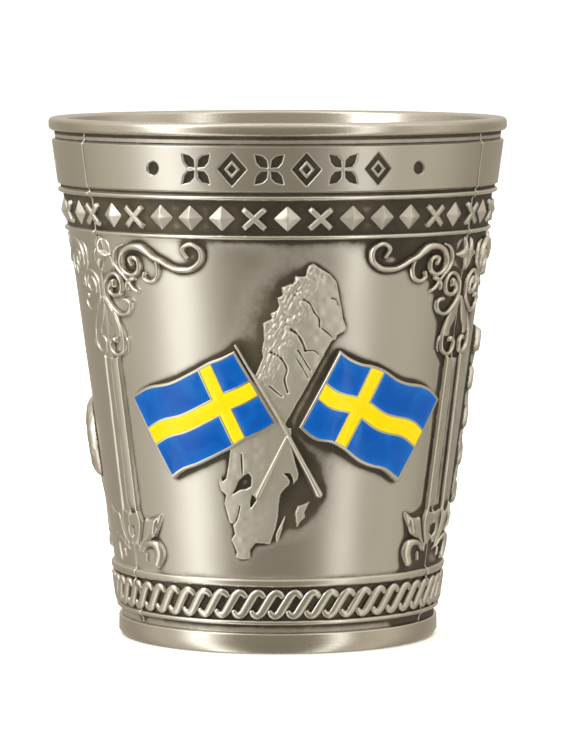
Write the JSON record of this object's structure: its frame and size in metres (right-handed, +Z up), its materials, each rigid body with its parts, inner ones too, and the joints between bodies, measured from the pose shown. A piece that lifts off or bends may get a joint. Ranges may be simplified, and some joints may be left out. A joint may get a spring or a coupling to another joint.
{
  "type": "shot glass",
  "caption": "Tapered metal souvenir shot glass: a turned inner cup clad with cast relief panels, with enamelled crossed flags over a map on the front.",
  "frame": {"origin": "centre of the foot ring's underside, on the surface that the glass stands on", "axes": "+Z up along the cup's axis; the front panel with the flags faces -Y; +X is to the right as seen from the front"},
  "size_m": [0.0441, 0.044, 0.05],
  "materials": {
    "turned_metal": "satin, fine turning marks",
    "cast_metal": "antique pewter: satin high spots, dark patina in the recesses",
    "solder": "satin",
    "blue_enamel": "glossy, slightly domed",
    "yellow_enamel": "glossy, slightly domed"
  },
  "bodies": {
    "root": {"inner_cup": "turned_metal", "front_panel": "cast_metal", "left_panel": "cast_metal", "right_panel": "cast_metal", "solder_seam_left": "solder", "solder_seam_right": "solder", "solder_seam_rear": "solder", "enamel_left_blue_lower_inner": "blue_enamel", "enamel_left_blue_lower_outer": "blue_enamel", "enamel_left_blue_upper_inner": "blue_enamel", "enamel_left_blue_upper_outer": "blue_enamel", "enamel_left_yellow_cross": "yellow_enamel", "enamel_right_blue_lower_inner": "blue_enamel", "enamel_right_blue_lower_outer": "blue_enamel", "enamel_right_blue_upper_inner": "blue_enamel", "enamel_right_blue_upper_outer": "blue_enamel", "enamel_right_yellow_cross": "yellow_enamel"}
  },
  "joints": []
}
